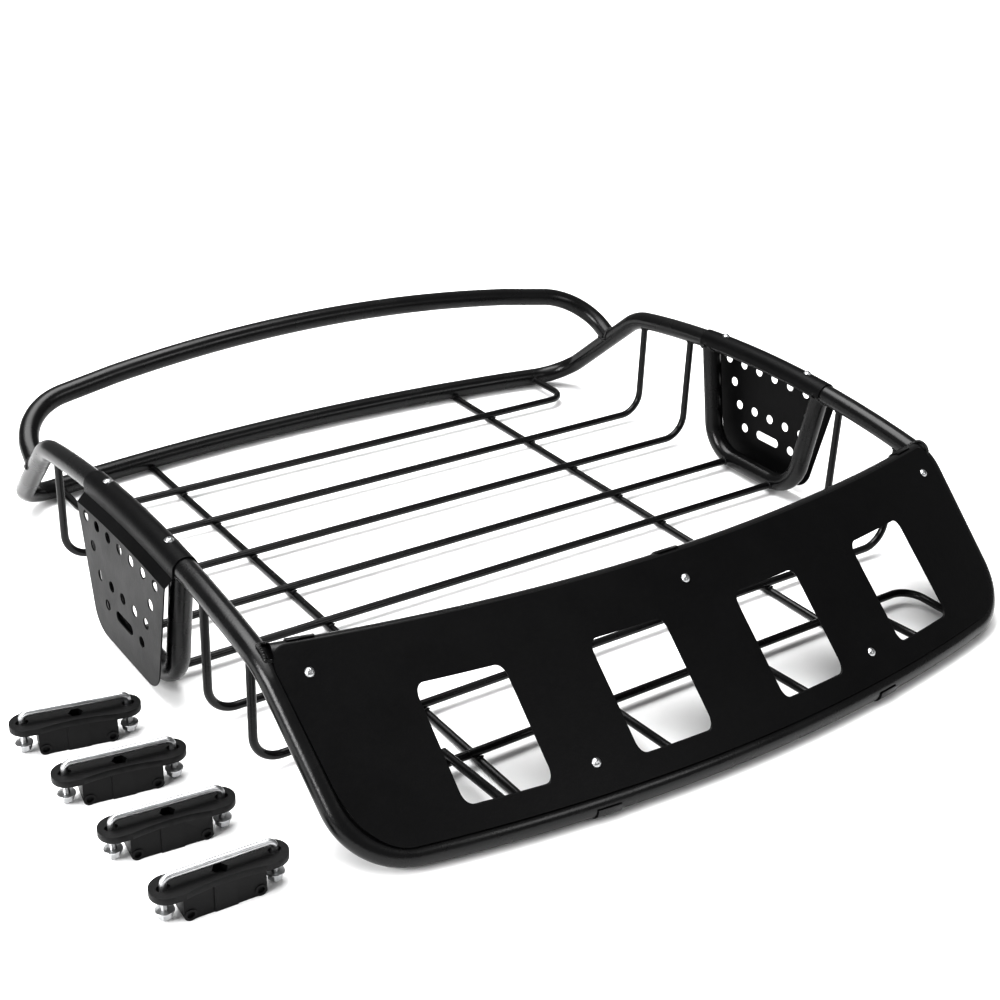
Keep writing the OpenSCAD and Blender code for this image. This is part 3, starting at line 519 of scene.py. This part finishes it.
# %% The line where a bar's skin meets a tube, and a bead along it
def joint_line(end, along, r_bar, axis_point, axis, r_tube, count=40):
    """Points where a bar, ending at "end" and running away in the direction "along", meets a tube."""
    along, axis = unit(along), unit(axis)
    u = unit(np.cross(along, axis if abs(along @ axis) < 0.95 else UP))
    v = np.cross(along, u)
    points = []
    for i in range(count):
        turn = 2 * math.pi * i / count
        start = np.asarray(end, float) + r_bar * (math.cos(turn) * u + math.sin(turn) * v) - along * 0.03
        w = start - axis_point
        w, d = w - (w @ axis) * axis, along - (along @ axis) * axis
        a, b, c = d @ d, 2 * (w @ d), w @ w - r_tube**2
        root = b * b - 4 * a * c
        points.append(start + along * ((-b + math.sqrt(max(root, 0.0))) / (2 * a)))
    return np.array(points)


def bead(line, r=0.0016, ripple=0.0028):
    """A closed bead with a ripple every few millimetres."""
    length = np.linalg.norm(np.roll(line, -1, 0) - line, axis=1).sum()
    waves = max(6, round(length / ripple))
    count = waves * 6
    step = np.linspace(0, len(line), count, endpoint=False)
    low = step.astype(int)
    part = (step - low)[:, None]
    fine = line[low % len(line)] * (1 - part) + line[(low + 1) % len(line)] * part
    radius = r * (1 + 0.16 * np.sin(2 * math.pi * waves * np.arange(count) / count))
    middle = fine.mean(0)
    normal = unit(np.cross(fine[0] - middle, fine[count // 4] - middle))
    return swept(fine, radius, 10, normal, loop=True)


# %% Beads on the tubes
def rail_axis(y):
    """The direction of a side rail at y."""
    return np.array([0, 1, -y / crown_r])


beads = []
tube_bead_r, u_bead_r, rod_bead_r, runner_bead_r = 0.0021, 0.0020, 0.0012, 0.0011
bar_dir = unit([1, 2 * front_bow / low_x, 0])
bar_end = np.array([bar_reach, bow_y(bar_reach, top_bar_end_y, -front_bow), top_bar_z])
bend_middle = np.array([rail_x, top_bar_end_y, crown_at(top_bar_end_y) - 0.0022])
bend_axis = np.array([0, 1, 0.45])
for s in (1, -1):
    m = np.array([s, 1, 1.0])
    line = joint_line(hoop_start * m, hoop_rise * m, tube_r, hoop_foot * m, slope_run * m, tube_r)
    beads.append(bead(line, tube_bead_r))
    line = joint_line(bar_end * m, -bar_dir * m, tube_r, bend_middle * m, bend_axis, tube_r)
    beads.append(bead(line, tube_bead_r))
    for y in (u_top_y, -u_top_y):
        leg = (0, math.copysign(u_low_y - u_top_y, y), u_z - u_top)
        rail = (s * rail_x, y, crown_at(y))
        line = joint_line((s * rail_x, y, u_top), leg, tube_r, rail, rail_axis(y), tube_r)
        beads.append(bead(line, u_bead_r))
piece("tube_welds", beads, "powder_coat", sharp=80)

# %% Beads on the rods
def bow_axis(x, bow):
    """The direction of a bowed crossbar at x."""
    return np.array([1, -2 * bow * x / low_x**2, 0])


beads = []
rod_ripple = 0.0022
for k, y in enumerate(rod_ys, 1):
    for s in (1, -1):
        if k in (2, 3, 6, 7):
            end, away = (s * up_x, y, crown_at(y) - tube_r), (0, 0, -1)
            tube, axis = (s * rail_x, y, crown_at(y)), rail_axis(y)
        elif k in (4, 5):
            end, away = (s * (rail_x - tube_r), y, rod_z), (-s, 0, 0)
            tube, axis = (s * rail_x, y, u_z), ALONG
        else:
            end_y, bow = (rear_low_y, rear_bow) if k == 1 else (front_low_y, -front_bow)
            tube_y = bow_y(out_x, end_y, bow)
            back = math.copysign(1, y - tube_y)
            end, away = (s * out_x, tube_y + back * tube_r, rod_z), (0, back, 0)
            tube, axis = (s * out_x, tube_y, low_tube_z), bow_axis(s * out_x, bow)
        beads.append(bead(joint_line(end, away, rod_r, tube, axis, tube_r, 24), rod_bead_r, rod_ripple))
for x in (-runner_x, runner_x):
    for end_y, bow, back in ((front_low_y, -front_bow, 1), (rear_low_y, rear_bow, -1)):
        tube_y = bow_y(x, end_y, bow)
        end, tube = (x, tube_y + back * runner_back, runner_z), (x, tube_y, low_tube_z)
        line = joint_line(end, (0, back, 0), rod_r * 0.98, tube, bow_axis(x, bow), tube_r, 24)
        off_the_ground = line[line[:, 2] > 0.0012]
        beads.append(bead(off_the_ground, runner_bead_r, rod_ripple))
print(len(beads), "round beads on the rods")


def tack(centre, along, length=0.0085, r=0.0017):
    """A short weld that tapers to both ends."""
    part = np.linspace(-1, 1, 13)
    path = np.asarray(centre, float) + part[:, None] * unit(along) * length / 2
    taper, ripple = np.sqrt(np.clip(1.02 - part**2, 0.02, 1)), 1 + 0.08 * np.cos(part * 14)
    return swept(path, r * taper * ripple, 12, UP)


for y in rod_ys:
    for x in (-runner_x, runner_x):
        for s in (1, -1):
            beads.append(tack((x, y + s * (rod_r + 0.0004), runner_z + rod_r + 0.0002), ACROSS))
for seat, front in tie_ends:
    for s in (1, -1):
        x = seat[0] + s * (rod_r + 0.0002)
        beads.append(tack((x, -last_rod_y, rod_z + rod_r + weld_sink), ALONG))
        beads.append(tack((x, front[1] + 0.001, front[2] - rod_r + cope), (0, 1, -0.2), length=0.011))
piece("rod_welds", beads, "powder_coat", sharp=80)

# %% [markdown]
# ## Cut sheet
# The fairing and the covers are cut from flat sheet and then rolled or folded. The same order
# works here: fill the flat outline and its holes with triangles, slice them into narrow strips,
# and only then bend every strip into place. The strips keep the reflections smooth on the curve,
# and a narrow bevel stands for the rounded edge that powder leaves.

# %% Outlines, and a sheet filled between them
def rounded(corners):
    """A closed outline through (point, radius) corners, as flat points."""
    pts = [np.array([p[0], p[1], 0.0]) for p, _ in corners]
    n, line = len(pts), []
    for i, (_, radius) in enumerate(corners):
        line += corner_arc(pts[i - 1], pts[i], pts[(i + 1) % n], radius, 6.0) if radius else [pts[i]]
    return [(p[0], p[1]) for p in line]


def round_hole(x, z, r, stretch=0.0, count=32):
    """A hole, or a slot when "stretch" moves its two halves apart."""
    turns = [2 * math.pi * (i + 0.5) / count for i in range(count)]
    return [(x + r * math.cos(t) + math.copysign(stretch, math.cos(t)), z + r * math.sin(t)) for t in turns]


def cut_sheet(name, loops, bend, slot, stands_for=(), strip=0.012, extra=(), edge=0.0003):
    """Fills the first loop minus the others, slices it every "strip", and bends both faces."""
    flat = bmesh.new()
    for loop in loops:
        corners = [flat.verts.new((x, z, 0)) for x, z in loop]
        for i, corner in enumerate(corners):
            flat.edges.new((corners[i - 1], corner))
    bmesh.ops.triangle_fill(flat, use_beauty=True, edges=flat.edges[:], normal=(0, 0, 1))
    low, high = min(x for x, _ in loops[0]), max(x for x, _ in loops[0])
    for i in range(1, int((high - low) / strip)):
        everything = flat.verts[:] + flat.edges[:] + flat.faces[:]
        cut = Vector((low + i * strip, 0, 0))
        bmesh.ops.bisect_plane(flat, geom=everything, dist=1e-6, plane_co=cut, plane_no=(1, 0, 0))
    bmesh.ops.recalc_face_normals(flat, faces=flat.faces[:])
    flat.verts.index_update()
    n = len(flat.verts)
    verts = [bend(v.co.x, v.co.y, side) for side in (0, 1) for v in flat.verts]
    faces = [tuple(v.index for v in f.verts) for f in flat.faces]
    faces += [tuple(i + n for i in reversed(f)) for f in faces]
    for e in flat.edges:
        if len(e.link_faces) == 1:
            a, b = (loop.vert.index for loop in (e.link_loops[0], e.link_loops[0].link_loop_next))
            faces.append((b, a, a + n, b + n))
    flat.free()
    made = piece(name, [(verts, faces), *extra], slot, stands_for=stands_for, sharp=30)
    soft = made.modifiers.new("soft_edge", "BEVEL")
    soft.limit_method, soft.angle_limit = "ANGLE", math.radians(50)
    soft.width, soft.segments, soft.harden_normals = edge, 2, True
    return made


# %% The fairing, rolled to a large radius
bow_depth = front_bow * math.sin(slope)
sheet_r = (low_x**2 + bow_depth**2) / (2 * bow_depth)
sheet_gap, sheet_t = 0.0009, 0.0015
sheet_off = tube_r + sheet_gap
front_top_z = crown_at(front_top_y)
sheet_y = front_top_y - math.sin(slope) * sheet_off - front_bow
sheet_z = front_top_z + math.cos(slope) * sheet_off


def rolled(x, z, side):
    """Where a point of the front view lies on the rolled sheet's inner (0) or outer (1) face."""
    r = sheet_r + side * sheet_t
    depth = sheet_r - math.sqrt(r * r - x * x)
    up = (z - sheet_z + depth * math.cos(slope)) / math.sin(slope)
    return (
        x,
        sheet_y + depth * math.sin(slope) + up * math.cos(slope),
        sheet_z - depth * math.cos(slope) + up * math.sin(slope),
    )


sheet_top, sheet_low = front_top_z + 0.0186, low_tube_z + 0.0137
window_top, window_low, window_x = sheet_top - 0.041, sheet_low + 0.0162, 0.0473
top_x, foot_x, top_round, foot_round, window_round = 0.456, 0.441, 0.017, 0.050, 0.01


def four_sided(x, top, low, low_half, top_half, top_r, low_r):
    """An upright outline with round corners, its middle at x."""
    return rounded([
        ((x - top_half, top), top_r), ((x - low_half, low), low_r),
        ((x + low_half, low), low_r), ((x + top_half, top), top_r),
    ])


outline = four_sided(0, sheet_top, sheet_low, foot_x, top_x, top_round, foot_round)
windows = [
    four_sided(x, window_top, window_low, window_x, window_x, window_round, window_round) for x in tie_xs
]
screw_spots = [(x, sheet_top - 0.0213) for x in (-0.425, 0.0, 0.425)]
screw_spots += [(x, sheet_low + 0.0198) for x in (-0.193, 0.193)]
drilled = [round_hole(x, z, 0.0028, count=20) for x, z in screw_spots]
cut_sheet("fairing", [outline, *windows, *drilled], rolled, "sheet_coat", ["fairing_sheet"])

# %% [markdown]
# ## Side covers
# Each cover is a flat perforated panel whose top is joggled in and folded over the rail. The
# fold is the same section all along the rail's crown, so it is swept round the crown's centre.

# %% The fold over the rail
cover_half, cover_out, cover_t, joggle = 0.1165, 0.023, 0.0015, 0.017


def fold_section():
    """(height above the rail's centre, distance out from it) round the folded sheet's section."""
    inner, outer = tube_r + 0.0003, tube_r + 0.0003 + cover_t
    out, back = cover_out + cover_t / 2, cover_out - cover_t / 2
    arc = [math.radians(a) for a in range(0, 181, 9)]
    line = [(-joggle - 0.0005, out), (-joggle, out), (-0.008, outer)]
    line += [(outer * math.sin(a), outer * math.cos(a)) for a in arc]
    line += [(-0.004, -outer), (-0.004, -inner)]
    line += [(inner * math.sin(a), -inner * math.cos(a)) for a in arc]
    return line + [(-0.008, inner), (-joggle, back), (-joggle - 0.0005, back)]


def fold(side):
    """The fold as one swept shape, closed at both ends."""
    section, steps = fold_section(), 40
    reach = math.asin(cover_half / crown_r)
    verts = []
    for i in range(steps + 1):
        turn = reach * (2 * i / steps - 1)
        for h, out in section:
            r = crown_r + h
            verts.append((side * (rail_x + out), r * math.sin(turn), crown_z + r * math.cos(turn)))
    n = len(section)
    faces = []
    for i in range(steps):
        a, b = i * n, (i + 1) * n
        faces += [(a + k, a + (k + 1) % n, b + (k + 1) % n, b + k) for k in range(n)]
    faces += [tuple(range(n)), tuple(steps * n + k for k in reversed(range(n)))]
    return verts, faces


# %% Both covers
panel_top = crown_r - joggle
swing = math.asin(cover_half / crown_r)
turns = np.linspace(swing, -swing, 11)
top_line = [(panel_top * math.sin(a), crown_z + panel_top * math.cos(a)) for a in turns]
foot_half, foot_z, foot_bend = 0.082, 0.0123, 0.032
feet = [np.array([-foot_half, foot_z, 0]), np.array([foot_half, foot_z, 0])]
ends = [np.array([*top_line[-1], 0]), np.array([*top_line[0], 0])]
foot_line = corner_arc(ends[0], feet[0], feet[1], foot_bend, 5)
foot_line += corner_arc(feet[0], feet[1], ends[1], foot_bend, 5)
panel_line = top_line + [(p[0], p[1]) for p in foot_line]
hole_pitch, hole_r, first_row_z = 0.0305, 0.0065, 0.1493
hole_rows = [(-3, -2, -1, 0, 1, 2, 3), (-2.5, 2.5), (-2, -1, 0, 1, 2), (-1.5, 1.5)]
holes = []
for row, places in enumerate(hole_rows):
    row_z = first_row_z - row * hole_pitch
    holes += [round_hole(i * hole_pitch, row_z, hole_r) for i in places]
holes.append(round_hole(0, row_z, hole_r, stretch=0.0155))
for side, name in ((-1, "left"), (1, "right")):

    def upright_panel(y, z, face, side=side):
        return (side * (rail_x + cover_out + (face - 0.5) * cover_t), y, z)

    cut_sheet(
        f"cover_{name}", [panel_line, *holes], upright_panel, "sheet_coat", [f"side_cover_{name}"],
        strip=0.5, extra=[fold(side)],
    )

# %% [markdown]
# ## Straps, screws, nuts and saddles
# These have the right shape in the measured model, so they stay and only take a finish. Moulded
# plastic and plated screws never have knife edges, though, so a weld modifier joins the corners
# that the file keeps apart, and a narrow bevel catches the light along every edge.

# %% Softened edges on the measured nodes
edge_width = {"powder_coat": 0.0002, "zinc": 0.00015, "black_plastic": 0.0005}
drawn_below = ("u_bolt", "nuts", "washers")
kept = [n for n, own in frame["nodes"].items() if not own.hide_render and not n.startswith(drawn_below)]
slots = {s["node"]: s["material_slot"] for s in frame["record"]["subparts"]}
for name in kept:
    own = frame["nodes"][name]
    own.data.materials.clear()
    own.data.materials.append(slot_finish[slots[name]])
    join = own.modifiers.new("join_corners", "WELD")
    join.merge_threshold = 0.00001
    soft = own.modifiers.new("soft_edge", "BEVEL")
    soft.limit_method, soft.angle_limit = "ANGLE", math.radians(40)
    soft.width, soft.segments, soft.harden_normals = edge_width[slots[name]], 2, True
print("kept nodes:", kept)

# %% [markdown]
# ## U-bolts, washers and nuts
# A U-bolt is plated rod with a rolled thread on its legs. A helix can be drawn on a swept bar by
# letting the radius follow the height and the angle together. A nut is a hexagon whose corners
# are cut by a cone, and that cut is what makes a nut look like a nut.

# %% Where each clamp lies
def clamp_matrix(k):
    x = -rail_x - 0.106 - (4 - k) * 0.0053
    y = -0.102 - (k - 1) * 0.099
    return np.array([x, y, 0]), math.radians(-12 + (k - 1) * 3)


def placed(shape, k, offset=(0, 0, 0)):
    """Moves a shape from a clamp's own middle to where that clamp lies."""
    spot, turn = clamp_matrix(k)
    c, s = math.cos(turn), math.sin(turn)
    around = np.array([[c, -s, 0], [s, c, 0], [0, 0, 1]])
    return (np.asarray(shape[0]) + offset) @ around.T + spot, shape[1]


# %% U-bolt with threaded legs
bolt_r, leg_x, bridge_z, bolt_bend = 0.0035, 0.053, 0.046, 0.007
thread_top, thread_pitch, thread_depth = 0.030, 0.00125, 0.00045
sides = 24
turn_at = 2 * math.pi * np.arange(sides) / sides
climb = np.arange(0, thread_top, thread_pitch / 6)
half_arch = [((-leg_x, 0, thread_top + 0.0008), 0), ((-leg_x, 0, bridge_z), bolt_bend)]
arch = bent_path(half_arch + mirrored(half_arch))
path = [(-leg_x, 0, z) for z in climb] + arch + [(leg_x, 0, z) for z in climb[::-1]]
radius = np.full((len(path), sides), bolt_r)
for i, (x, _, z) in enumerate(path):
    if z < thread_top:
        hand = turn_at if x < 0 else -turn_at
        phase = (z / thread_pitch + hand / (2 * math.pi)) % 1
        fade = min(1.0, (thread_top - z) / 0.002)
        radius[i] -= thread_depth * fade * (1 - np.abs(2 * phase - 1))
        radius[i] -= 0.0006 * max(0.0, 1 - z / 0.001)
u_bolt = swept(path, radius, sides, ALONG)

# %% Chamfered nut and washer
def lathe(rings):
    """A closed ring shape from (radii, heights) rows, each with one value for every angle."""
    count = len(rings[0][0])
    angle = 2 * math.pi * np.arange(count) / count
    cos, sin = np.cos(angle), np.sin(angle)
    verts = np.vstack([np.stack([r * cos, r * sin, z * np.ones(count)], 1) for r, z in rings])
    n = len(rings)
    faces = []
    for i in range(n):
        a, b = i * count, (i + 1) % n * count
        faces += [(a + k, b + k, b + (k + 1) % count, a + (k + 1) % count) for k in range(count)]
    return verts, faces


def nut(flats, height, bore):
    count = 72
    angle = np.degrees(2 * math.pi * np.arange(count) / count) % 60 - 30
    hexagon = flats / 2 / np.cos(np.radians(angle))
    cone = flats / 2 * 0.96
    cut = np.clip(hexagon - cone, 0, None) * math.tan(math.radians(32))
    one = np.ones(count)
    return lathe([
        (one * cone, 0 * one), (hexagon, cut), (hexagon, height - cut), (one * cone, height * one),
        (one * (bore + 0.0006), height * one), (one * bore, (height - 0.0006) * one),
        (one * bore, 0.0006 * one), (one * (bore + 0.0006), 0 * one),
    ])


def washer(outer, thick, bore):
    one, c = np.ones(64), 0.0002
    return lathe([
        (one * (outer - c), 0 * one), (one * outer, c * one),
        (one * outer, (thick - c) * one), (one * (outer - c), thick * one),
        (one * (bore + c), thick * one), (one * bore, (thick - c) * one),
        (one * bore, c * one), (one * (bore + c), 0 * one),
    ])


nut_z, nut_h = 0.004, 0.0065
clamp_nut, clamp_washer = nut(0.013, nut_h, 0.00355), washer(0.009, 0.0016, 0.00355)
for k in range(1, 5):
    nuts = [placed(clamp_nut, k, (s * leg_x, 0, nut_z)) for s in (-1, 1)]
    washers = [placed(clamp_washer, k, (s * leg_x, 0, nut_z + nut_h)) for s in (-1, 1)]
    piece(f"hook_bolt_{k}", [placed(u_bolt, k)], "zinc", f"clamp_{k}_bolt", [f"u_bolt_{k}"], sharp=60)
    piece(f"hex_nuts_{k}", nuts, "zinc", f"clamp_{k}_nuts", [f"nuts_{k}"], sharp=20)
    piece(f"flat_washers_{k}", washers, "zinc", f"clamp_{k}_nuts", [f"washers_{k}"])

# %% [markdown]
# ## Floor, light and camera
# A pale floor and large soft lights are all that a black object needs. Black shows its form only
# by what it reflects, so the lights are wide panels: one to the left, one overhead and a weaker
# one in front. A sun with a very wide angle keeps the floor white out to the horizon. The camera
# looks down across the front right corner.

# %% Floor
floor_paint = bpy.data.materials.new("floor_paint")
floor_paint.use_nodes = True
floor_shader = floor_paint.node_tree.nodes["Principled BSDF"]
floor_shader.inputs["Base Color"].default_value = (0.86, 0.86, 0.86, 1)
floor_shader.inputs["Roughness"].default_value = 0.7
mesh = bpy.data.meshes.new("floor")
floor_half = 14
corners = [(sx * floor_half, sy * floor_half, 0) for sx, sy in ((-1, -1), (1, -1), (1, 1), (-1, 1))]
mesh.from_pydata(corners, [], [(0, 1, 2, 3)])
mesh.materials.append(floor_paint)
floor = bpy.data.objects.new("floor", mesh)
bpy.context.scene.collection.objects.link(floor)

# %% Lights
world = bpy.data.worlds.new("studio")
bpy.context.scene.world = world
world.use_nodes = True
surround = world.node_tree.nodes["Background"]
surround.inputs["Color"].default_value = (1, 1, 1, 1)
surround.inputs["Strength"].default_value = 0.35


def panel(name, place, aim, width, height, power):
    """A soft light panel that faces the point "aim"."""
    light = bpy.data.lights.new(name, "AREA")
    light.shape, light.size, light.size_y, light.energy = "RECTANGLE", width, height, power
    lamp = bpy.data.objects.new(name, light)
    lamp.location = place
    lamp.rotation_euler = (Vector(aim) - Vector(place)).to_track_quat("-Z", "Y").to_euler()
    bpy.context.scene.collection.objects.link(lamp)


panel("panel_left", (-2.8, -0.4, 1.3), (0, 0, 0.1), 1.5, 1.1, 100)
panel("panel_top", (-0.3, 0.9, 3.0), (0, 0, 0), 3.0, 2.2, 130)
panel("panel_front", (1.2, -3.2, 2.4), (0, 0, 0.1), 1.6, 1.2, 35)
sky = bpy.data.lights.new("even_light", "SUN")
sky.energy, sky.angle = 2.7, math.radians(60)
even_light = bpy.data.objects.new("even_light", sky)
even_light.rotation_euler = (math.radians(-8), math.radians(-12), 0)
bpy.context.scene.collection.objects.link(even_light)

# %% Camera
turn, tilt, roll = math.radians(-36.1476), math.radians(26.5532), math.radians(2.4367)
aim, distance = Vector((0.097536, 0.104768, 0.01425)), 2.12961
back = Vector((math.sin(turn) * math.cos(tilt), -math.cos(turn) * math.cos(tilt), math.sin(tilt)))
level = Vector((math.cos(turn), math.sin(turn), 0))
upright = back.cross(level)
right = math.cos(roll) * level + math.sin(roll) * upright
up = -math.sin(roll) * level + math.cos(roll) * upright
lens = bpy.data.cameras.new("camera")
lens.lens, lens.sensor_width = 57.062, 36
lens.shift_x, lens.shift_y = -0.0016, 0.0004
camera = bpy.data.objects.new("camera", lens)
aimed = Matrix((right, up, back)).transposed().to_4x4()
camera.matrix_world = Matrix.Translation(aim + back * distance) @ aimed
bpy.context.scene.collection.objects.link(camera)
bpy.context.scene.camera = camera
view = bpy.context.scene.view_settings
view.view_transform, view.exposure, view.gamma = "Standard", 0.1, 0.82
